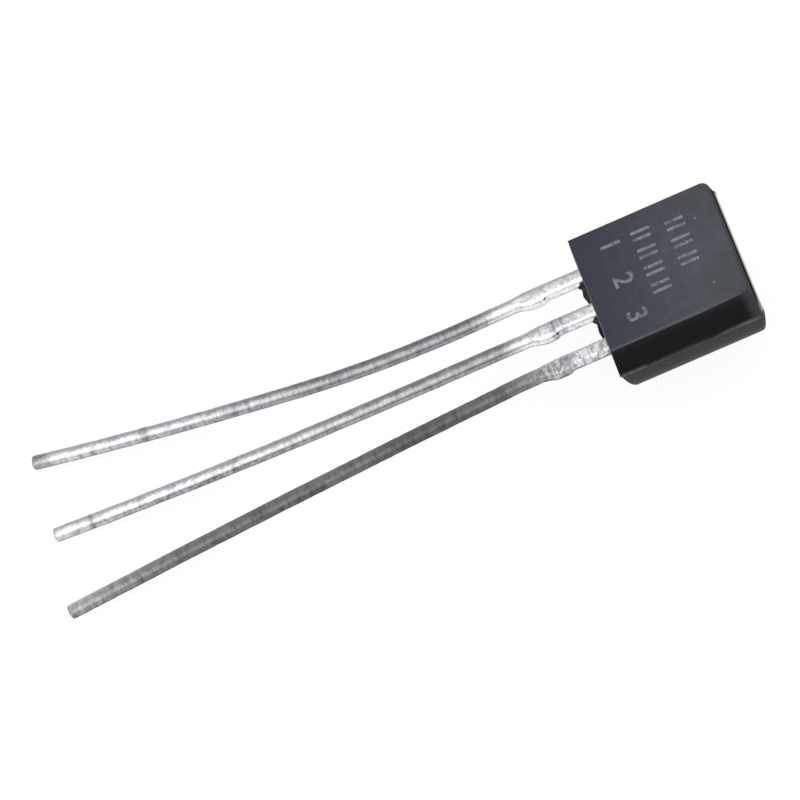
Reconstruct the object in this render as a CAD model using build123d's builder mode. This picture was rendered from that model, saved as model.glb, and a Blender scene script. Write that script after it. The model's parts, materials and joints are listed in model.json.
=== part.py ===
from build123d import *
from math import copysign, cos, degrees, radians, sin, tan
import os

# A transistor in the small moulded case with three leads in line: a flat marked front, a round back
# and leads 1.27 mm apart. All sizes are millimetres.
#
# Every piece is drawn with the middle plane of the flat lead frame as Plane.XY: X across the leads, Y
# along them towards the top of the case, Z out of the flat front, with Y = 0 at the lead end of the
# parting line. At the end all the pieces are laid down together, as the part comes to rest: on the lead
# end of its round back and on the tips of its two outer leads, tilted by a few degrees. In the finished
# model +X runs across the leads, +Y from the lead tips to the top of the case and +Z up, and the origin
# is on the surface that it lies on, under its middle.

# ---- Moulded case ----
case_width = 4.62  # across the parting line
case_height = 4.66  # along the leads, at the parting line
parting_depth = 0.17  # behind the middle plane of the lead frame
front_depth = 1.21  # parting line to the flat front
side_draft = 14.5  # degrees that each side of the front half leans in
lead_end_draft = 5.0  # degrees that the lead end of the front half leans in
top_draft = 3.5  # degrees that its top leans in
back_skirt = 0.22  # straight wall behind the parting line, before the round back
back_end_draft = 9.0  # degrees that each end of the back half leans in
top_corner_radius = 0.25  # upper two corners of the front half
flat_edge_radius = 0.07  # round the edge of the flat front
back_edge_radius = 0.12  # ends of the back half

# Thin resin flash left at the parting line between the leads. Its ragged edge is given as points: how
# far across the gap, from the lead nearer pin 1, and how far out from the case.
flash_thickness = 0.06
emitter_side_flash = [(0.0, 0.21), (0.13, 0.11), (0.45, 0.15), (0.72, 0.09), (1.0, 0.06)]
base_side_flash = [(0.0, 0.17), (0.15, 0.07), (0.55, 0.10), (0.85, 0.06), (1.0, 0.08)]

# ---- Lead frame ----
lead_pitch = 1.27
lead_thickness = 0.38
lead_width = 0.42  # the long leg
lead_corner_radius = 0.11  # coined edges of the leg
shank_width = 0.48  # next to the case
shank_length = 2.05  # case to the start of the leg
shank_edge_radius = 0.04
stub_reach = 0.08  # sheared stub of the tie bar that joined the leads, past the pin 3 side of the shank
stub_length = 0.45
stub_taper = 0.36  # stub to leg

# From the case to the cut tip, measured along the lead
lead_length = 17.90  # pin 3, the longest
emitter_lead_shortfall = 0.22  # pin 1 is shorter by this much
collector_lead_shortfall = 0.30  # and pin 2 by this much

# Bends of each leg, shank to tip, as (radius, length of the arc). A positive radius turns the leg
# towards pin 3. The last bend runs on to the tip.
emitter_lead_bends = [(36.6, 1.1), (-37.0, 6.0), (-141.0, None)]
collector_lead_bends = [(700.0, 3.1), (-205.0, None)]
base_lead_bends = [(18.7, 1.0), (466.0, None)]

# Bonding posts and paddle, sealed in the case
frame_gap = 0.30  # between neighbouring pieces of the lead frame
post_bottom = 1.35  # above the lead end of the case
post_height = 0.70
post_overhang = 0.28  # past the outer side of its shank
paddle_width = 2.20
paddle_height = 1.60

# ---- Chip and bond wires ----
die_size = 0.90
die_thickness = 0.20
attach_margin = 0.05  # solder showing round the chip
attach_thickness = 0.04
bond_pad_offset = 0.20  # pads on the chip, from its middle, both ways
wire_diameter = 0.05
wire_sides = 8  # the fine wires and their balls are drawn as octagons
wire_loop_height = 0.26  # above the chip
wire_loop_fall = 0.12  # from the chip's end of the loop to the post's end
wire_bend_radius = 0.10
ball_diameter = 0.12
ball_height = 0.04

# ---- Worked out from the sizes above ----
half_width = case_width / 2
half_thickness = lead_thickness / 2
emitter_lead_length = lead_length - emitter_lead_shortfall
collector_lead_length = lead_length - collector_lead_shortfall
flat_width = case_width - 2 * front_depth * tan(radians(side_draft))
flat_bottom = front_depth * tan(radians(lead_end_draft))
flat_top = case_height - front_depth * tan(radians(top_draft))
back_depth = back_skirt + half_width
post_inner_edge = shank_width / 2 + frame_gap
post_outer_edge = lead_pitch + shank_width / 2 + post_overhang
post_middle = ((post_inner_edge + post_outer_edge) / 2, post_bottom + post_height / 2)
paddle_bottom = post_bottom + post_height + frame_gap
die_middle = paddle_bottom + paddle_height / 2
die_bottom = half_thickness + attach_thickness
die_top = die_bottom + die_thickness


def draw_leg(pin_x, bends, length):
    """Draw the centreline of a leg in the active BuildLine, from its shank to its tip."""
    point = (pin_x, -shank_length)
    heading = (0, -1)
    length_left = length - shank_length
    for radius, arc_length in bends:
        arc_length = arc_length or length_left
        turn = copysign(degrees(arc_length / radius), radius)
        arc = JernArc(point, heading, abs(radius), turn)
        point, heading = arc @ 1, arc % 1
        length_left -= arc_length


frame_back = Plane.XY.offset(-half_thickness)
parting_plane = Plane.XY.offset(-parting_depth)
flat_plane = parting_plane.offset(front_depth)
# Cross-section planes at the two ends of the case: Y points into the back, Z along the leads
end_plane = Plane((0, 0, -parting_depth), x_dir=(1, 0, 0), z_dir=(0, 1, 0))
top_plane = end_plane.offset(case_height)


# ---- Leads ----
def draw_shank(pin_x):
    """Draw a lead's shank and the stub of its tie bar in the active BuildSketch."""
    half_shank = shank_width / 2
    taper_top = stub_taper - shank_length
    stub_top = taper_top + stub_length
    Polygon(
        (pin_x - half_shank, post_bottom),
        (pin_x - half_shank, taper_top),
        (pin_x - lead_width / 2, -shank_length),
        (pin_x + lead_width / 2, -shank_length),
        (pin_x + half_shank + stub_reach, taper_top),
        (pin_x + half_shank + stub_reach, stub_top),
        (pin_x + half_shank, stub_top),
        (pin_x + half_shank, post_bottom),
        align=None,
    )


def shank_edges(lead):
    """The long edges of a lead's shank and stub, without those of its post or paddle."""
    return lead.edges().filter_by(Axis.Y).filter_by_position(Axis.Y, -shank_length, post_bottom)


def add_leg(pin_x, bends, length):
    """Sweep a leg's section, a rectangle with coined edges, along its centreline."""
    with BuildLine() as leg:
        draw_leg(pin_x, bends, length)
    with BuildSketch(Plane(leg.line @ 0, x_dir=(1, 0, 0), z_dir=leg.line % 0)) as section:
        RectangleRounded(lead_width, lead_thickness, lead_corner_radius)
    sweep(section.sketch, path=leg.line)


def outer_lead(side, bends, length):
    """A lead with a bonding post inside the case, on side -1 for pin 1 or 1 for pin 3."""
    with BuildPart() as lead:
        with BuildSketch(frame_back):
            draw_shank(side * lead_pitch)
            with Locations((side * post_middle[0], post_middle[1])):
                Rectangle(post_outer_edge - post_inner_edge, post_height)
        extrude(amount=lead_thickness)
        fillet(shank_edges(lead), shank_edge_radius)
        add_leg(side * lead_pitch, bends, length)
    return lead


emitter_lead = outer_lead(-1, emitter_lead_bends, emitter_lead_length)
base_lead = outer_lead(1, base_lead_bends, lead_length)

with BuildPart() as collector_lead:
    with BuildSketch(frame_back):
        draw_shank(0)
        with Locations((0, post_bottom)):
            Rectangle(shank_width, paddle_bottom - post_bottom, align=(Align.CENTER, Align.MIN))
        with Locations((0, paddle_bottom)):
            Rectangle(paddle_width, paddle_height, align=(Align.CENTER, Align.MIN))
    extrude(amount=lead_thickness)
    fillet(shank_edges(collector_lead), shank_edge_radius)
    add_leg(0, collector_lead_bends, collector_lead_length)

# ---- Chip and its solder ----
with BuildPart() as die_attach:
    with BuildSketch(Plane.XY.offset(half_thickness)):
        with Locations((0, die_middle)):
            Rectangle(die_size + 2 * attach_margin, die_size + 2 * attach_margin)
    extrude(amount=attach_thickness)

with BuildPart() as transistor_die:
    with BuildSketch(Plane.XY.offset(die_bottom)):
        with Locations((0, die_middle)):
            Rectangle(die_size, die_size)
    extrude(amount=die_thickness)


# ---- Bond wires ----
def bond_wire(side):
    """A wire from a pad on the chip, over a loop and down to the post on one side."""
    pad = Vector(side * bond_pad_offset, die_middle - bond_pad_offset, die_top)
    landing = Vector(side * post_middle[0], post_middle[1], die_top)
    span = (landing - pad).length
    forward = (landing - pad).normalized()
    loop_plane = Plane(pad, x_dir=forward, z_dir=forward.cross(Vector(0, 0, 1)))
    with BuildPart() as wire:
        with BuildLine(loop_plane) as loop:
            FilletPolyline(
                (0, 0),
                (0, wire_loop_height),
                (span, wire_loop_height - wire_loop_fall),
                (span, half_thickness - die_top),
                radius=wire_bend_radius,
            )
        with BuildSketch(Plane(pad, x_dir=forward, z_dir=(0, 0, 1))) as section:
            RegularPolygon(wire_diameter / 2, wire_sides)
        sweep(path=loop.line)
        with BuildSketch(section.workplanes[0]):
            RegularPolygon(ball_diameter / 2, wire_sides)
        extrude(amount=ball_height)
    return wire


emitter_bond_wire = bond_wire(-1)
base_bond_wire = bond_wire(1)

# ---- Moulded case ----
# The back half is half round, with its ends drafted inwards from the parting line
with BuildPart() as back_half:
    with BuildSketch(end_plane):
        with BuildLine():
            Polyline((-half_width, back_skirt), (-half_width, 0), (half_width, 0), (half_width, back_skirt))
            ThreePointArc((half_width, back_skirt), (0, back_depth), (-half_width, back_skirt))
        make_face()
    extrude(amount=case_height)
    split(bisect_by=end_plane.rotated((back_end_draft, 0, 0)), keep=Keep.TOP)
    split(bisect_by=top_plane.rotated((-back_end_draft, 0, 0)), keep=Keep.BOTTOM)
    for end in (back_half.faces().sort_by(Axis.Y)[0], back_half.faces().sort_by(Axis.Y)[-1]):
        fillet(end.edges().sort_by(Axis.Z)[:-1], back_edge_radius)

# The front half narrows to the flat front
with BuildPart() as moulded_case:
    with BuildSketch(parting_plane):
        Rectangle(case_width, case_height, align=(Align.CENTER, Align.MIN))
    with BuildSketch(flat_plane):
        with Locations((0, flat_bottom)):
            Rectangle(flat_width, flat_top - flat_bottom, align=(Align.CENTER, Align.MIN))
    loft()
    corners = moulded_case.edges().filter_by(parting_plane, reverse=True)
    fillet(corners.sort_by(Axis.Y)[-2:], top_corner_radius)
    fillet(moulded_case.faces().sort_by(Axis.Z)[-1].edges(), flat_edge_radius)
    add(back_half.part)

    # Flash between the leads
    for pin_x, ragged_edge in ((-lead_pitch, emitter_side_flash), (0, base_side_flash)):
        gap_start, gap_end = pin_x + shank_width / 2, pin_x + lead_pitch - shank_width / 2
        with BuildSketch(parting_plane):
            Polygon(
                (gap_end, flash_thickness),
                (gap_start, flash_thickness),
                *((gap_start + share * (gap_end - gap_start), -reach) for share, reach in ragged_edge),
                align=None,
            )
        extrude(amount=flash_thickness)

    # The resin closes tightly round everything that it holds
    held = (emitter_lead, collector_lead, base_lead, die_attach, transistor_die,
            emitter_bond_wire, base_bond_wire)
    add([piece.part for piece in held], mode=Mode.SUBTRACT)

# ---- How it lies ----
# It touches the surface at three points: the lead end of the round back, and both outer tips.
with BuildLine() as emitter_leg:
    draw_leg(-lead_pitch, emitter_lead_bends, emitter_lead_length)
with BuildLine() as base_leg:
    draw_leg(lead_pitch, base_lead_bends, lead_length)

to_underside = Vector(0, 0, -half_thickness)
emitter_tip = emitter_leg.line @ 1 + to_underside
base_tip = base_leg.line @ 1 + to_underside

# The edge under the back is rounded, so the point where it touches depends on the tilt
lean = radians(back_end_draft)
foot_middle = Vector(
    0,
    back_depth * tan(lean) + back_edge_radius * (1 - sin(lean)) / cos(lean),
    back_edge_radius - parting_depth - back_depth,
)
surface_normal = Vector(0, 0, 1)
for step in range(4):
    back_foot = foot_middle - surface_normal * back_edge_radius
    surface_normal = (emitter_tip - back_foot).cross(base_tip - back_foot).normalized()
surface_forward = surface_normal.cross(Vector(1, 0, 0))
surface = Plane(origin=back_foot, x_dir=surface_forward.cross(surface_normal), z_dir=surface_normal)

# Middle of the footprint: the upper edges of the outer tips reach furthest one way, the top of the
# case furthest the other way
emitter_end = surface.to_local_coords(emitter_leg.line @ 1 - to_underside)
base_end = surface.to_local_coords(base_leg.line @ 1 - to_underside)
case_top = surface.to_local_coords(Vector(0, case_height, -parting_depth))
near_end = min(emitter_end.Y, base_end.Y)
surface.origin = surface.from_local_coords(
    Vector((emitter_end.X + base_end.X) / 2, (near_end + case_top.Y) / 2, 0)
)

# ---- Named pieces ----
pieces = {
    "moulded_case": moulded_case,
    "emitter_lead": emitter_lead,
    "collector_lead": collector_lead,
    "base_lead": base_lead,
    "transistor_die": transistor_die,
    "die_attach": die_attach,
    "emitter_bond_wire": emitter_bond_wire,
    "base_bond_wire": base_bond_wire,
}
os.makedirs("parts", exist_ok=True)
for name, piece in pieces.items():
    piece.part.locate(surface.location.inverse())
    piece.part.label = name
    export_step(piece.part, f"parts/{name}.step")
    print(name, len(piece.part.solids()), "solid", round(piece.part.volume, 4), "mm3")
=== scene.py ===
# %% [markdown]
# # A transistor in a small moulded case
# This lesson dresses a finished engineering model: a small black moulding with a flat front and a round
# back, and three tinned leads that fan out a little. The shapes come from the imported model, so the work
# here is on finishes, on the marks that stamping and handling leave, and on light. Everything is in
# metres, and the object is only 22 mm long, so millimetres are written as `mm`.

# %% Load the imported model
import json
import math

import bpy
from mathutils import Matrix, Vector


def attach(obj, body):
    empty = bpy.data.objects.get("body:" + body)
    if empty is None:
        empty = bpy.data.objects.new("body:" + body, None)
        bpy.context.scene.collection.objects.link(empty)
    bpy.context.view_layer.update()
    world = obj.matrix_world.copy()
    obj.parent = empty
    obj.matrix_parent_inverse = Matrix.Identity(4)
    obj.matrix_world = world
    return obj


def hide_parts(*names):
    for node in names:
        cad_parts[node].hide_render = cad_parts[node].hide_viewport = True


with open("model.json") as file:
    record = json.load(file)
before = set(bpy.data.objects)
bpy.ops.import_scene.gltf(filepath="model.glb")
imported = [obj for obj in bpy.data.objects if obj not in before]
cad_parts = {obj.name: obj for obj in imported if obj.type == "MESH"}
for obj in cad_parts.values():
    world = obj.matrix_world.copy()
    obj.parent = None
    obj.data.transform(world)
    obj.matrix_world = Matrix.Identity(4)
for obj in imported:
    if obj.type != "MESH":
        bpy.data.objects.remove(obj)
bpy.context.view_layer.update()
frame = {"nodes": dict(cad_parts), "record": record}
mm = 0.001
print("nodes:", sorted(frame["nodes"]))

# %% [markdown]
# ## The directions of the case
# The part rests on the lead end of its round back and on two lead tips, so its case is tilted by a few
# degrees. Patterns have to follow the case and not the table. The mount on the flat front gives the
# middle of that face and the way it points, and two more directions follow from it.

# %% Axes of the case
flat_front = next(mount for mount in frame["record"]["mounts"] if mount["name"] == "flat_front")
flat_middle = Vector(flat_front["pos_m"])
outward = Vector(flat_front["axis"]).normalized()
along = outward.cross(Vector((1, 0, 0))).normalized()
across = along.cross(outward)
print("across", tuple(round(v, 3) for v in across), "along", tuple(round(v, 3) for v in along))

# %% [markdown]
# ## Camera
# A close view from above and from the side of pin 3, turned so that the leads run down to the left. A
# small part is taken with a long lens from some way off, which keeps its edges nearly parallel.

# %% Place the camera
camera_distance = 150 * mm
camera_azimuth = -1.4
camera_elevation = 60.84
camera_roll = -18.33
camera_lens = 227.65
view_centre = Vector((0.730, 0.239, 2.287)) * mm

turn_round = math.radians(camera_azimuth)
turn_up = math.radians(camera_elevation)
towards_camera = Vector((
    math.cos(turn_up) * math.cos(turn_round),
    math.cos(turn_up) * math.sin(turn_round),
    math.sin(turn_up),
))
camera_data = bpy.data.cameras.new("camera")
camera_data.lens = camera_lens
camera_data.clip_start = 5 * mm
camera_data.clip_end = 5000 * mm
camera = bpy.data.objects.new("camera", camera_data)
bpy.context.scene.collection.objects.link(camera)
look = towards_camera.to_track_quat("Z", "Y").to_matrix().to_4x4()
roll = Matrix.Rotation(math.radians(camera_roll), 4, "Z")
camera.matrix_world = Matrix.Translation(view_centre + towards_camera * camera_distance) @ look @ roll
bpy.context.scene.camera = camera
print("camera at, mm:", [round(v / mm, 1) for v in camera.location])

# %% [markdown]
# ## Writing materials as sums
# A procedural finish is mostly arithmetic: masks are added, multiplied and compared. Adding each Math
# node by hand takes four lines and hides the sum. So `Signal` wraps one output of a node, and an
# ordinary expression such as `1 - mask` adds the Math nodes for it. Its `rise` is the mask used most,
# a smooth step between two values.

# %% One output of a node
def own_names(kind):
    """The methods that a class brings, apart from its operators."""
    return [name for name in vars(kind) if not name.startswith("__")]


class Signal:
    """One output socket of a material's nodes, for use in sums."""

    def __init__(self, finish, socket):
        self.finish = finish
        self.socket = socket

    def sum(self, operation, *terms):
        return self.finish.node("ShaderNodeMath", {"operation": operation}, dict(enumerate(terms)))

    def __add__(self, other):
        return self.sum("ADD", self, other)

    def __radd__(self, other):
        return self.sum("ADD", other, self)

    def __sub__(self, other):
        return self.sum("SUBTRACT", self, other)

    def __rsub__(self, other):
        return self.sum("SUBTRACT", other, self)

    def __mul__(self, other):
        return self.sum("MULTIPLY", self, other)

    def __rmul__(self, other):
        return self.sum("MULTIPLY", other, self)

    def __abs__(self):
        return self.sum("ABSOLUTE", self)

    def at_most(self, other):
        return self.sum("MINIMUM", self, other)

    def at_least(self, other):
        return self.sum("MAXIMUM", self, other)

    def rise(self, start, end):
        """0 at start, 1 at end and a smooth step between; end may be the lower one."""
        if start > end:
            return 1 - self.rise(end, start)
        return self.finish.node(
            "ShaderNodeMapRange",
            {"interpolation_type": "SMOOTHSTEP"},
            {"Value": self, "From Min": start, "From Max": end},
        )


print("a signal knows:", own_names(Signal))

# %% [markdown]
# `Tree` holds the nodes of one material. Its `node` adds any node from its type, its settings and the
# values or links of its sockets, so that the rest of the lesson never touches Blender's node lists.

# %% The nodes of one material
class Tree:
    """A node material under construction."""

    def __init__(self, name, data=None):
        self.material = data or bpy.data.materials.new(name)
        self.material.use_nodes = True
        self.tree = self.material.node_tree
        self.tree.nodes.clear()

    def node(self, kind, settings=None, sockets=None, output=0):
        node = self.tree.nodes.new(kind)
        for setting, value in (settings or {}).items():
            if setting == "stops":
                ramp = node.color_ramp.elements
                while len(ramp) < len(value):
                    ramp.new(1)
                for element, (position, colour) in zip(ramp, value):
                    element.position = position
                    element.color = (*colour, 1)
            else:
                setattr(node, setting, value)
        for socket, value in (sockets or {}).items():
            if isinstance(value, Signal):
                self.tree.links.new(value.socket, node.inputs[socket])
            else:
                node.inputs[socket].default_value = value
        return Signal(self, node.outputs[output])

    def done(self, surface):
        """Link the surface to the output and give the material back."""
        is_world = isinstance(self.material, bpy.types.World)
        end = self.tree.nodes.new("ShaderNodeOutputWorld" if is_world else "ShaderNodeOutputMaterial")
        self.tree.links.new(surface.socket, end.inputs["Surface"])
        print(self.material.name, "has", len(self.tree.nodes), "nodes")
        return self.material


def dress(node_name, material):
    """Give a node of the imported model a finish."""
    piece = bpy.data.objects[node_name]
    for slot in piece.material_slots:
        slot.material = material
    print(node_name, "<-", material.name)


print("a tree knows:", own_names(Tree))

# %% [markdown]
# `Finish` adds the few nodes that nearly every finish here needs. Colours and places go through Mix and
# Vector Math, because a Math node would turn a colour grey. Places are Object coordinates made
# millimetres, so they stay with the part, and a scale of 1 is a pattern about a millimetre wide.

# %% The nodes used most
class Finish(Tree):
    """A material with short names for its usual nodes."""

    def mix(self, share, first, second, blend="MIX"):
        """Colour between two: a colour Mix node has them in sockets 6 and 7, and its result in output 2."""
        sockets = {0: share}
        for socket, colour in ((6, first), (7, second)):
            sockets[socket] = colour if isinstance(colour, Signal) else (*colour, 1)
        return self.node("ShaderNodeMix", {"data_type": "RGBA", "blend_type": blend}, sockets, output=2)

    def shaded(self, colour, share):
        """A colour times a number."""
        grey = self.node("ShaderNodeCombineXYZ", sockets={0: share, 1: share, 2: share})
        return self.mix(1.0, colour, grey, "MULTIPLY")

    def ramp(self, share, stops, blue=1.0):
        """A grey that follows (position, grey) stops; blue tints it."""
        colours = [(position, (grey, grey, grey * blue)) for position, grey in stops]
        return self.node("ShaderNodeValToRGB", {"stops": colours}, {0: share})

    def noise(self, vector, scale, detail=2, roughness=0.5):
        return self.node(
            "ShaderNodeTexNoise",
            sockets={"Vector": vector, "Scale": scale, "Detail": detail, "Roughness": roughness},
        )

    def vector(self, operation, first, second, output=0):
        return self.node("ShaderNodeVectorMath", {"operation": operation}, {0: first, 1: second}, output)

    def dot(self, vector, direction):
        """How far a vector goes in one direction."""
        return self.vector("DOT_PRODUCT", vector, direction, output=1)

    def place(self):
        """Object coordinates in millimetres."""
        point = self.node("ShaderNodeTexCoord", output=3)
        return self.node("ShaderNodeVectorMath", {"operation": "SCALE"}, {0: point, "Scale": 1 / mm})

    def measure(self, place, direction):
        """Distance in millimetres from the middle of the flat front in one direction."""
        return self.dot(place, direction) - flat_middle.dot(direction) / mm

    def relief(self, strength, distance, height):
        """Fine unevenness for a shader's Normal; distance is in millimetres."""
        return self.node(
            "ShaderNodeBump", sockets={"Strength": strength, "Distance": distance * mm, "Height": height})

    def shader(self, sockets):
        return self.node("ShaderNodeBsdfPrincipled", sockets=sockets)

    def blend(self, share, first, second):
        """Shader between two shaders."""
        return self.node("ShaderNodeMixShader", sockets={0: share, 1: first, 2: second})


print("a finish also knows:", own_names(Finish))

# %% [markdown]
# ## The moulding
# The case is transfer-moulded from black epoxy filled with ground glass. Its areas come out of the mould
# differently: the flat front is matt and slate grey, because it is etched so that the marking shows, the
# drafted sides are smooth and nearly black, and the back is as the spark left the tool, fine and satin.
# Each area could have a material of its own, but their borders are soft and cross the faces of the
# mesh. So one material measures how far a point is to the side, up and out from the middle of the flat
# front, in millimetres, and turns these three measures into masks.

# %% Places on the case
parting_depth = -1.21  # the line where the two halves of the mould met
epoxy = Finish("black_epoxy")
place = epoxy.place()
side = epoxy.measure(place, across)
height = epoxy.measure(place, along)
depth = epoxy.measure(place, outward)

on_flat = depth.rise(-0.07, -0.02)
behind = depth.rise(parting_depth + 0.01, parting_depth - 0.02)
at_top = height.rise(2.20, 2.27)
# Where the top end is painted pale, a painted reflection, and is also glossy.
painted_sheen_top = at_top * depth.rise(-0.55, -1.10)
parting_line = 1 - abs(depth - parting_depth).rise(0.01, 0.13)

grain = epoxy.noise(place, 16, 3, 0.6)
mottle = epoxy.noise(place, 4, 3, 0.6)
cloud = epoxy.noise(place, 1.6, 4, 0.6)
print("parting line at a depth of", -parting_depth, "mm")

# %% [markdown]
# The front is painted lighter from the lead end to the top, and a little darker towards pin 1 and on its
# upper side by pin 3. This is painted shading for how the light falls across it. Along the top edge, and
# round the corner on the side of pin 3, it is painted darker still. This is a painted shade where the light
# falls off the top edge and its corner. A rounded corner is where the distance from its centre reaches the
# radius: past the centre the two offsets are squared and added, and before it they count as nothing.

# %% Colour of the flat front
shade_corner_side = 1.74  # centre of the rounded corner
shade_corner_height = 1.98
past_side = (side - shade_corner_side).at_least(0)
past_height = (height - shade_corner_height).at_least(0)
past_corner = past_side * past_side + past_height * past_height
# Painted shade along the top edge of the front and round its corner by pin 3.
top_edge_shade = past_corner.rise(0.15 ** 2, 0.25 ** 2) * height.rise(1.7, 2.0)
# Painted shading: darker towards pin 1 and on the upper side by pin 3.
shade_by_pin_1 = side.rise(0.2, -2.1) * 0.22
shade_top_by_pin_3 = side.rise(0.0, 1.9) * height.rise(0.5, 2.0) * 0.17

# Painted shading: lighter from the lead end to the top.
front_colour = epoxy.mix(height.rise(-2.3, 1.2), (0.033, 0.036, 0.052), (0.064, 0.069, 0.084))
front_colour = epoxy.mix(shade_by_pin_1, front_colour, (0.02, 0.02, 0.03))
front_colour = epoxy.mix(top_edge_shade, front_colour, (0.034, 0.034, 0.039))
front_colour = epoxy.mix(shade_top_by_pin_3, front_colour, (0.015, 0.014, 0.008))
print("etched corner centred at", (shade_corner_side, shade_corner_height))

# %% [markdown]
# The drafted sides are the darkest part, with painted highlights just below the flat and near the top end.
# Towards the parting line the top end is painted pale, most of all towards pin 1. This is a painted
# reflection of the light it catches at a flat angle.

# %% Colour of the sides and the top end
# Painted reflection: the top end is painted pale, most of all towards pin 1.
painted_sheen_colour = epoxy.mix(side.rise(1.6, -1.8), (0.10, 0.10, 0.10), (0.26, 0.26, 0.25))
# Painted highlights on the drafted sides, just below the flat and near the top end.
side_colour = epoxy.mix(depth.rise(-0.40, -0.07), (0.0045, 0.0045, 0.0055), (0.013, 0.013, 0.015))
side_colour = epoxy.mix(height.rise(1.78, 2.12), side_colour, (0.039, 0.039, 0.042))
side_colour = epoxy.mix(at_top, side_colour, (0.010, 0.010, 0.011))
side_colour = epoxy.mix(painted_sheen_top, side_colour, painted_sheen_colour)
print("sides and top end coloured")

# %% [markdown]
# Now the areas are put together. Two thin lines are painted lighter than what they part. The first is the
# edge between the flat and the side by pin 3, a painted highlight. The second is the parting line, a trace
# of the thin fin the mould left there together with a painted highlight. The parting line is painted
# lightest near both ends, and a cloud of noise breaks it up.

# %% Colour of the whole case
back_colour = epoxy.mix(depth.rise(-1.9, -1.3), (0.016, 0.015, 0.013), (0.025, 0.025, 0.026))
# Painted highlight along the edge of the flat on the side of pin 3 and at its lead end.
edge_depth = depth.rise(-0.012, -0.03) * depth.rise(-0.11, -0.07)
flat_edge_highlight = edge_depth * side.rise(-2.15, 0.6) * height.rise(1.7, 0.5)
# The parting line: a trace of the thin fin and a painted highlight, lightest near both ends.
wear_and_sheen = 0.4 + 0.6 * abs(height).rise(0.6, 1.8)
flash_and_highlight = parting_line * (1 - at_top) * wear_and_sheen * cloud.rise(0.30, 0.60)

colour = epoxy.mix(on_flat, side_colour, front_colour)
colour = epoxy.mix(flat_edge_highlight * 0.6, colour, (0.125, 0.13, 0.145))
colour = epoxy.mix(behind, colour, back_colour)
colour = epoxy.mix(flash_and_highlight, colour, (0.092, 0.092, 0.097))
colour = epoxy.shaded(colour, 0.84 + 0.22 * cloud + 0.50 * (mottle - 0.5) + 0.26 * (grain - 0.5))
print("flat, sides, back, worn edge and parting line put together")

# %% [markdown]
# Specks of bare glass show on the front as small light dots. Each is a spot round a point of the front,
# written as a distance squared, which saves a square root.

# %% Specks of glass
# Side, height and radius of each, in millimetres
specks = [(-0.96, 1.51, 0.040), (1.29, 1.32, 0.034), (-0.35, 0.30, 0.020)]
speck = 0
for speck_side, speck_height, speck_size in specks:
    off_side = side - speck_side
    off_height = height - speck_height
    off_square = off_side * off_side + off_height * off_height
    speck = off_square.rise((speck_size * 1.3) ** 2, (speck_size * 0.5) ** 2).at_least(speck)
colour = epoxy.mix(speck * on_flat * 0.6, colour, (0.25, 0.255, 0.29))
print("specks:", len(specks))

# %% [markdown]
# The areas differ in gloss too. The etched flat mirrors a little and the back less, the drafted sides stay
# black from any side, and the top end towards the parting line is glossy, so that it catches the light at a
# flat angle. A shader's mirror strength is one number, so each kind of gloss is a shader of its own, and
# the masks blend them.

# %% Gloss and relief of the epoxy
roughness = 0.40 + 0.14 * on_flat + 0.10 * behind + 0.10 * (grain - 0.5)
relief = epoxy.relief(0.35, 0.004, epoxy.noise(place, 38, 3, 0.6))


def epoxy_shader(mirror, rough):
    return epoxy.shader(
        {"Base Color": colour, "Roughness": rough, "Specular IOR Level": mirror, "Normal": relief})


matt = epoxy_shader(0.34, roughness)
polished = epoxy_shader(0.06, roughness)
dead = epoxy_shader(0.0, roughness)
shine = epoxy_shader(1.0, roughness * 0.5)
surface = epoxy.blend(at_top, polished, dead)
surface = epoxy.blend(on_flat.at_least(behind * 0.36), surface, matt)
surface = epoxy.blend(painted_sheen_top * (1 - behind), surface, shine)
dress("moulded_case", epoxy.done(surface))

# %% [markdown]
# ## Tin skin of the leads
# The leads are stamped from copper alloy and dipped in tin, which draws back from sharp corners and
# crowns the faces, and bending and sorting leave small waves and dents in it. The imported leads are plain
# stampings, so each is stood in for by a copy with this skin. A bevel would round every corner alike,
# and tin doesn't: it is thinnest at the tips and at the stubs of the cut bar. So a voxel remesh gives
# the copy an even net of small faces, smoothing rounds it as surface tension does, and two cloud
# textures press the waves in.

# %% Waves in the tin
def wave(name, size, strength, basis="BLENDER_ORIGINAL"):
    """A cloud texture and how strongly it moves the surface, both in millimetres."""
    texture = bpy.data.textures.new(name, "CLOUDS")
    texture.noise_basis = basis
    texture.noise_scale = size
    texture.noise_depth = 2
    return texture, strength


waves = [wave("long_waves", 0.55, 0.014), wave("short_waves", 0.17, 0.011, "IMPROVED_PERLIN")]
wave_level = 0.6  # cloud value that leaves the skin in place; above the mean, so most waves sink
print("waves:", [texture.name for texture, strength in waves])

# %% [markdown]
# The imported mesh itself stays as it is, because it is what the part is tested with, so the skin starts
# as a copy. The triangles of the imported mesh share no corners, and these are merged first.

# %% Copy an imported lead
merge_distance = 0.0005 * mm


def copy_merged(node_name, name):
    """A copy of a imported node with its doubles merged."""
    bpy.ops.object.select_all(action="DESELECT")
    bpy.context.view_layer.objects.active = bpy.data.objects[node_name]
    bpy.data.objects[node_name].select_set(True)
    bpy.ops.object.duplicate()
    bpy.context.object.name = name
    bpy.ops.object.mode_set(mode="EDIT")
    bpy.ops.mesh.select_all(action="SELECT")
    bpy.ops.mesh.remove_doubles(threshold=merge_distance)
    bpy.ops.object.mode_set(mode="OBJECT")
    return bpy.context.object


def apply_modifiers(piece):
    for modifier in list(piece.modifiers):
        bpy.ops.object.modifier_apply(modifier=modifier.name)


# %% [markdown]
# Voxels can't be smaller than a tenth of a millimetre, so the copy is worked on a thousand times larger,
# with its millimetres as metres, and made small again at the end. Smoothing takes a little from the
# faces, and a small swelling gives it back, so that the lead keeps its section.

# %% Give a lead its skin
skin_voxel = 0.03  # millimetres
skin_draw = 45  # rounds of smoothing
skin_swell = 0.007  # millimetres


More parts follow.
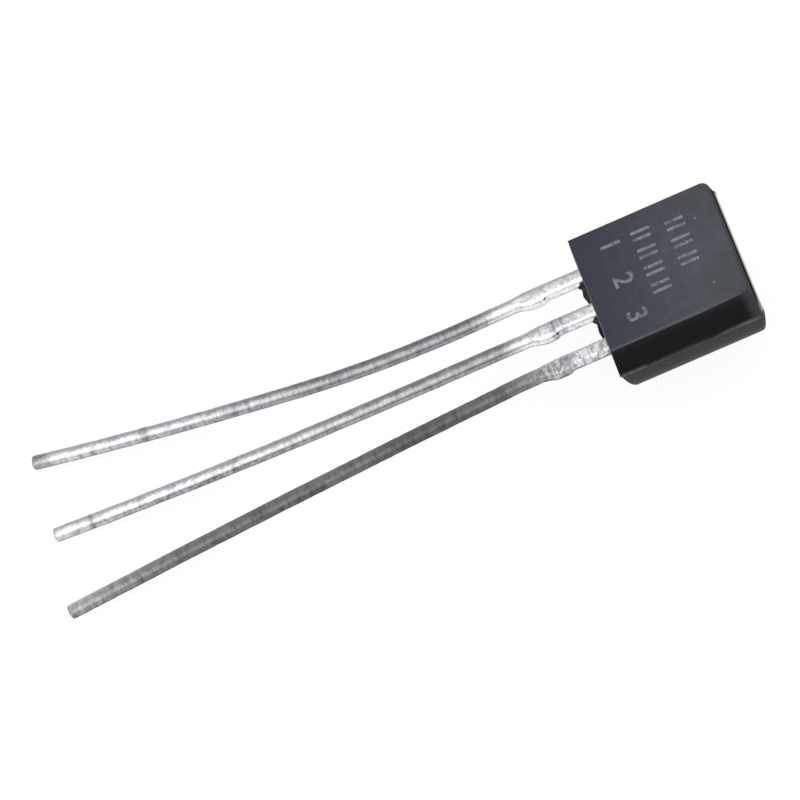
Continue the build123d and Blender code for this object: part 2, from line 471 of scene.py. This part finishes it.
def tin_skin(node_name):
    """A copy of a lead with a smooth, slightly wavy skin."""
    skin = copy_merged(node_name, f"tinned_{node_name}")
    skin.data.transform(Matrix.Scale(1 / mm, 4))
    remesh = skin.modifiers.new("net", "REMESH")
    remesh.mode = "VOXEL"
    remesh.voxel_size = skin_voxel
    draw = skin.modifiers.new("draw", "SMOOTH")
    draw.iterations = skin_draw
    swell = skin.modifiers.new("swell", "DISPLACE")
    swell.strength = skin_swell
    swell.mid_level = 0
    for texture, strength in waves:
        ripple = skin.modifiers.new(texture.name, "DISPLACE")
        ripple.texture = texture
        ripple.strength = strength
        ripple.mid_level = wave_level
    apply_modifiers(skin)
    skin.data.transform(Matrix.Scale(mm, 4))
    bpy.ops.object.shade_smooth()

    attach(skin, "root")
    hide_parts(node_name)
    print(skin.name, "has", len(skin.data.polygons), "faces")
    return skin


skins = {name: tin_skin(name) for name in ("emitter_lead", "collector_lead", "base_lead")}

# %% [markdown]
# ## How each lead has aged
# Fresh tin is nearly white and mirrors soft light. Handling and storage dull it unevenly. One material with
# noise would age the three leads alike, so each lead gets its own habit, written as a table that is easy to
# change. Pins 1 and 2 are bright at both ends, with a narrow dark band or two. A place on a lead is its
# `way`, from 0 at the tip to 1 at the case.
#
# - `tarnish` is how light the tin is, as pairs of way and grey.
# - `sheared` is how much darker the side towards pin 3 is painted, a painted shade for the lead's own
#   shadow that this side mirrors, as pairs of way and share.
# - `seed` shifts the patterns, in millimetres, so that no two leads are alike.
# - `mottling` is how much patches and rub marks dull the leg.
# - `stained` is how much flecks dull the wide shank by the case.
# - `under` is how much darker the underside is painted, a painted shade, and `shine` how much brighter the
#   edge towards pin 1 is painted, a painted highlight.
# - `haze` is the roughness where the tin is clean.

# %% Habits of pins 1 and 2
habits = {
    "emitter_lead": {
        "tin": "bright_tin_1",
        "tarnish": [
            (0.0, 0.55), (0.03, 0.60), (0.04, 0.95), (0.14, 0.92), (0.20, 0.86), (0.21, 0.55), (0.22, 0.86),
            (0.34, 0.74), (0.49, 0.43), (0.64, 0.39), (0.80, 0.34), (0.86, 0.95), (1.0, 0.98)],
        "sheared": [(0.0, 0.2), (0.2, 0.35), (0.34, 0.33), (0.5, 0.18), (0.8, 0.0)],
        "seed": 0.0, "mottling": 0.45, "stained": 0.20, "under": 0.8, "shine": 0.30, "haze": 0.14,
    },
    "collector_lead": {
        "tin": "bright_tin_2",
        "tarnish": [
            (0.0, 0.95), (0.065, 0.95), (0.073, 0.45), (0.082, 0.95), (0.20, 0.90), (0.35, 0.78),
            (0.50, 0.56), (0.66, 0.46), (0.83, 0.38), (0.88, 0.95), (0.922, 0.92), (0.93, 0.50),
            (0.938, 0.86), (0.945, 0.55), (0.953, 0.93), (1.0, 0.97)],
        "sheared": [(0.0, 0.2), (0.2, 0.42), (0.34, 0.42), (0.5, 0.25), (0.8, 0.0)],
        "seed": 7.3, "mottling": 0.45, "stained": 0.31, "under": 0.8, "shine": 0.50, "haze": 0.14,
    },
}
print("bright leads:", list(habits))

# %% [markdown]
# Pin 3 has gone dull along its whole leg. Its tin is rough and grey, and clean tin shows only on the
# shank, in flecks.

# %% Habit of pin 3
habits["base_lead"] = {
    "tin": "dull_tin",
    "tarnish": [
        (0.0, 0.55), (0.06, 0.42), (0.20, 0.225), (0.35, 0.21), (0.51, 0.22), (0.66, 0.155), (0.81, 0.19),
        (0.87, 0.34), (0.91, 0.72), (0.93, 0.50), (0.945, 0.88), (0.985, 0.90), (1.0, 0.98)],
    "sheared": [(0.0, 0.22), (0.82, 0.15), (0.90, 0.05)],
    "seed": 13.1, "mottling": 0.48, "stained": 0.5, "under": 0.9, "shine": 0.85, "haze": 0.38,
}
print("all leads:", list(habits))

# %% [markdown]
# The normal of a face tells the sides of a lead apart: set against the axes of the case, it gives the side
# towards pin 3, the edge towards pin 1 and the underside a mask each. The side towards pin 3 and the
# underside are painted darker, a painted shade, and the edge towards pin 1 is painted lighter, a painted
# highlight. The wear and the painted shade are added up, and the painted highlight takes some away again.
# The flecks' noise is stretched, so they are longer across the lead than along it, as rub marks are.

# %% Where a lead is dull, and its painted shade and highlight
shank_way = (0.83, 0.88)  # between these the thin leg widens into the shank


def dullness(finish, habit, shifted, way, patches, marks):
    """How much darker the tin is, from wear and painted shade, from 0 to 0.9, or a little below 0 where a
    highlight is painted.
    """
    normal = finish.node("ShaderNodeNewGeometry", output=1)
    sideways = finish.dot(normal, across)
    outwards = finish.dot(normal, outward)
    flecks = finish.noise(finish.vector("MULTIPLY", shifted, (4.5, 9.0, 4.5)), 1, 2, 0.7)
    shank = way.rise(*shank_way)
    wear_and_sheen = patches.rise(0.42, 0.66) * 0.5 + marks.rise(0.40, 0.68) * 0.5
    dull = wear_and_sheen * habit["mottling"] * (1 - 0.8 * shank)
    dull = dull + flecks.rise(0.44, 0.62) * habit["stained"] * shank
    # Painted shade on the side towards pin 3 and on the underside, and a painted highlight on the edge
    # towards pin 1.
    dull = dull + sideways.rise(0.65, 0.95) * finish.ramp(way, habit["sheared"])
    dull = dull + outwards.rise(0.00, -0.22) * habit["under"]
    dull = dull - sideways.rise(0.06, -0.34) * habit["shine"]
    return dull.at_most(0.9)


print("the shank starts at way", shank_way)

# %% [markdown]
# The tin's colour is its tarnish times what is left of its light, never more than white, with a faint
# tint that drifts from cool to warm. Metals take all their colour from Base Color, and where they are
# dull they are rougher.

# %% Tin
tip_height = -20.0  # of the lead tips, in millimetres from the middle of the flat
tip_to_case = 17.6  # millimetres


def tin(habit):
    """Tin plating with one lead's habit."""
    finish = Finish(habit["tin"])
    place = finish.place()
    way = (finish.measure(place, along) - tip_height) * (1 / tip_to_case)
    shifted = finish.vector("ADD", place, (habit["seed"],) * 3)
    patches = finish.noise(finish.vector("MULTIPLY", shifted, (2.4, 3.6, 2.4)), 1, 4, 0.65)
    marks = finish.noise(finish.vector("MULTIPLY", shifted, (3.5, 8.0, 3.5)), 1, 2, 0.6)
    grain = finish.noise(place, 22, 2, 0.5)
    drift = finish.noise(shifted, 0.5, 2, 0.5).rise(0.4, 0.6)

    # What is left of the tin's light after wear, painted shade and the painted highlight.
    clean = 1 - dullness(finish, habit, shifted, way, patches, marks)
    colour = finish.shaded(finish.ramp(way, habit["tarnish"], blue=1.01), clean)
    colour = finish.vector("MINIMUM", colour, (1, 1, 1))
    tint = finish.mix(drift, (0.955, 0.955, 1.0), (1.0, 0.985, 0.975))
    return finish.done(finish.shader({
        "Base Color": finish.mix(1.0, colour, tint, "MULTIPLY"),
        "Metallic": 1.0,
        "Roughness": habit["haze"] + 0.12 * patches + 0.06 * grain,
        "Normal": finish.relief(0.4, 0.006, patches * 0.6 + marks * 0.6 + grain * 0.1),
    }))


for name, skin in skins.items():
    tinned = tin(habits[name])
    skin.data.materials.clear()
    skin.data.materials.append(tinned)
    dress(name, tinned)

# %% [markdown]
# ## Inside the moulding
# The chip, its solder and its two gold wires are sealed in and never seen from outside, but anyone who
# cuts the model open should find them finished too. The chip is silicon with a faint pattern of
# streets, and its solder has set in soft ripples.

# %% Chip and solder
silicon = Finish("silicon")
streets = silicon.noise(silicon.place(), 9, 2, 0.5)
dress("transistor_die", silicon.done(silicon.shader({
    "Base Color": silicon.mix(streets, (0.10, 0.11, 0.14), (0.20, 0.21, 0.26)),
    "Metallic": 0.6,
    "Roughness": 0.15 + 0.12 * streets,
})))

solder = Finish("solder")
ripple = solder.noise(solder.place(), 7, 3, 0.6)
dress("die_attach", solder.done(solder.shader({
    "Base Color": solder.mix(ripple, (0.36, 0.36, 0.38), (0.55, 0.55, 0.57)),
    "Metallic": 1.0,
    "Roughness": 0.35 + 0.2 * ripple,
    "Normal": solder.relief(0.4, 0.01, ripple),
})))

# %% [markdown]
# The wires are gold, drawn through a die, which leaves them bright with a very fine grain.

# %% Gold wires
gold = Finish("bond_wire")
drawn = gold.noise(gold.place(), 30, 2, 0.5)
gold_material = gold.done(gold.shader({
    "Base Color": gold.mix(drawn, (0.78, 0.52, 0.17), (0.92, 0.68, 0.28)),
    "Metallic": 1.0,
    "Roughness": 0.18 + 0.1 * drawn,
}))
dress("emitter_bond_wire", gold_material)
dress("base_bond_wire", gold_material)

# %% [markdown]
# ## Marking
# The flat front carries a faint laser marking. This one is generic: the pin numbers, each above its own
# lead, and two rows of plain bars. A mask in the epoxy could paint it, but a thin layer of its own keeps
# a crisp edge from near by, so each mark stands two thousandths of a millimetre out of the face. The
# numbers start as text, which is made a mesh before it is put in place.

# %% Pin numbers
mark_height = 0.60 * mm
mark_lift = 0.002 * mm
lead_pitch = 1.27 * mm
digit_share = 0.69  # height of a digit as a share of the size of its text
digit_gain = 0.012 * mm  # how much the laser widens a stroke on each side
digit_line = -1.15 * mm  # where the numbers stand, from the middle of the flat
to_flat = Matrix.Translation(flat_middle) @ Matrix((across, along, outward)).transposed().to_4x4()
marks = []


def seat_mark(piece, x, y):
    """Move a mark that was drawn round the origin to its place on the flat front."""
    piece.data.transform(to_flat @ Matrix.Translation((x, y, 0)))
    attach(piece, "root")
    marks.append(piece)


for pin in (1, 2, 3):
    bpy.ops.object.select_all(action="DESELECT")
    bpy.ops.object.text_add(location=(0, 0, 0))
    number = bpy.context.object
    number.name = f"pin_number_{pin}"
    number.data.body = str(pin)
    number.data.size = mark_height / digit_share
    number.data.align_x = "CENTER"
    number.data.align_y = "CENTER"
    number.data.offset = digit_gain
    number.data.extrude = mark_lift
    bpy.ops.object.convert(target="MESH")
    seat_mark(bpy.context.object, (pin - 2) * lead_pitch, digit_line)
print("pin numbers:", len(marks))

# %% [markdown]
# A bar is a plane with its corners bevelled round and a little thickness. It is modelled once, and two
# arrays, one for the pair and one for the row, repeat it.

# %% Rows of bars
bar_width = 0.10 * mm
bar_gap = 0.24 * mm
column_gap = 0.63 * mm
# Pairs of bars in each row, then the place of its first bar
bar_rows = ((4, -1.32 * mm, -0.15 * mm), (3, -1.19 * mm, 0.90 * mm))


def repeat(piece, count, step):
    array = piece.modifiers.new("repeat", "ARRAY")
    array.count = count
    array.use_relative_offset = False
    array.use_constant_offset = True
    array.constant_offset_displace = (step, 0, 0)


for row, (columns, x, y) in enumerate(bar_rows):
    bpy.ops.object.select_all(action="DESELECT")
    bpy.ops.mesh.primitive_plane_add(size=1, location=(0, 0, 0))
    bars = bpy.context.object
    bars.name = f"marking_row_{row + 1}"
    bars.data.transform(Matrix.Diagonal((bar_width, mark_height, 1, 1)))
    bpy.ops.object.mode_set(mode="EDIT")
    bpy.ops.mesh.select_all(action="SELECT")
    bpy.ops.mesh.bevel(offset=bar_width * 0.4, segments=4, affect="VERTICES")
    bpy.ops.object.mode_set(mode="OBJECT")
    thickness = bars.modifiers.new("thickness", "SOLIDIFY")
    thickness.thickness = 2 * mark_lift
    thickness.offset = 0
    repeat(bars, 2, bar_gap)
    repeat(bars, columns, column_gap)
    apply_modifiers(bars)
    seat_mark(bars, x, y)
print("marks:", [mark.name for mark in marks])

# %% [markdown]
# A laser bleaches the epoxy to a pale slate grey and leaves it a little uneven, and handling wears it.
# Noise between two greys does both.

# %% Finish of the marking
laser = Finish("laser_marking")
place = laser.place()
wear = laser.noise(place, 6, 4, 0.7)
laser_material = laser.done(laser.shader({
    "Base Color": laser.mix(wear.rise(0.36, 0.60), (0.10, 0.104, 0.130), (0.215, 0.22, 0.265)),
    "Roughness": 0.55 + 0.1 * laser.noise(place, 24, 2, 0.5),
    "Specular IOR Level": 0.34,
}))
for mark in marks:
    mark.data.materials.clear()
    mark.data.materials.append(laser_material)

# %% [markdown]
# ## Floor and light
# The part lies on a white sheet that is much larger than the view. Lit paper alone comes out grey, and
# more light would bleach the part. So what the camera, metal and glass see of the sheet is mostly lifted
# to plain white, and the rest still takes the light, so the shadow stays.

# %% White sheet
sheet_size = 4000 * mm
sheet_drop = 0.01 * mm  # keeps it clear of the faces that rest on it
sheet_lift = 0.9  # share of the sheet that is plain white to the eye
sheet_white = 1.035  # makes up for the share that isn't
bpy.ops.object.select_all(action="DESELECT")
bpy.ops.mesh.primitive_plane_add(size=sheet_size, location=(0, 0, -sheet_drop))
sheet = bpy.context.object
sheet.name = "white_sheet"
paper = Finish("white_sheet")
by_camera = paper.node("ShaderNodeLightPath", output=0)
by_metal = paper.node("ShaderNodeLightPath", output=3)
by_glass = paper.node("ShaderNodeLightPath", output=6)
seen = by_camera.at_least(by_metal).at_least(by_glass)
lit = paper.shader({"Base Color": (0.9, 0.9, 0.9, 1), "Roughness": 0.9, "Specular IOR Level": 0.0})
white = paper.node("ShaderNodeEmission", sockets={"Color": (1, 1, 1, 1), "Strength": sheet_white})
sheet.data.materials.append(paper.done(paper.blend(seen * sheet_lift, lit, white)))

# %% [markdown]
# The light is a soft dome, bright overhead and on the side of pin 3 and dimmer on the side of pin 1,
# which draws a grey band along one edge of each lead. A dome is used because metal shows what is round
# it, and a few lamps would leave it black between them. The camera sees the dome as plain white.

# %% Dome
dome_glow = 0.92
dome_dip = 0.52  # how much weaker it is on the side of pin 1
dim_side = Vector((-1.0, -0.1, 0.0)).normalized()
world = bpy.data.worlds.new("studio")
bpy.context.scene.world = world
dome = Finish("studio", world)
sight = dome.node("ShaderNodeTexCoord", output=0)
glow = dome_glow - dome_dip * dome.dot(sight, dim_side).rise(0.47, 0.62)
seen = dome.node("ShaderNodeLightPath", output=0)
strength = dome.node("ShaderNodeMix", {"data_type": "FLOAT"}, {0: seen, 2: glow, 3: 1.0})
dome.done(dome.node("ShaderNodeBackground", sockets={"Color": (1, 1, 1, 1), "Strength": strength}))

# %% [markdown]
# One large lamp, as near as a window, stands nearly overhead and adds a soft shadow. It is weak,
# because the part is small and the lamp is close. The Standard view shows colours as they are written.

# %% Lamp
lamp_side = Vector((0.15, -0.05, 1.0)).normalized()
lamp_distance = 300 * mm
lamp_data = bpy.data.lights.new("window", "AREA")
lamp_data.shape = "SQUARE"
lamp_data.size = 320 * mm
lamp_data.energy = 0.24
lamp = bpy.data.objects.new("window", lamp_data)
bpy.context.scene.collection.objects.link(lamp)
lamp_turn = lamp_side.to_track_quat("Z", "Y").to_matrix().to_4x4()
lamp.matrix_world = Matrix.Translation(lamp_side * lamp_distance) @ lamp_turn
bpy.context.scene.view_settings.view_transform = "Standard"
print("lamp at, mm:", [round(v / mm) for v in lamp.location])

# %% [markdown]
# ## The size of the part
# The finish must not change the size of the part.
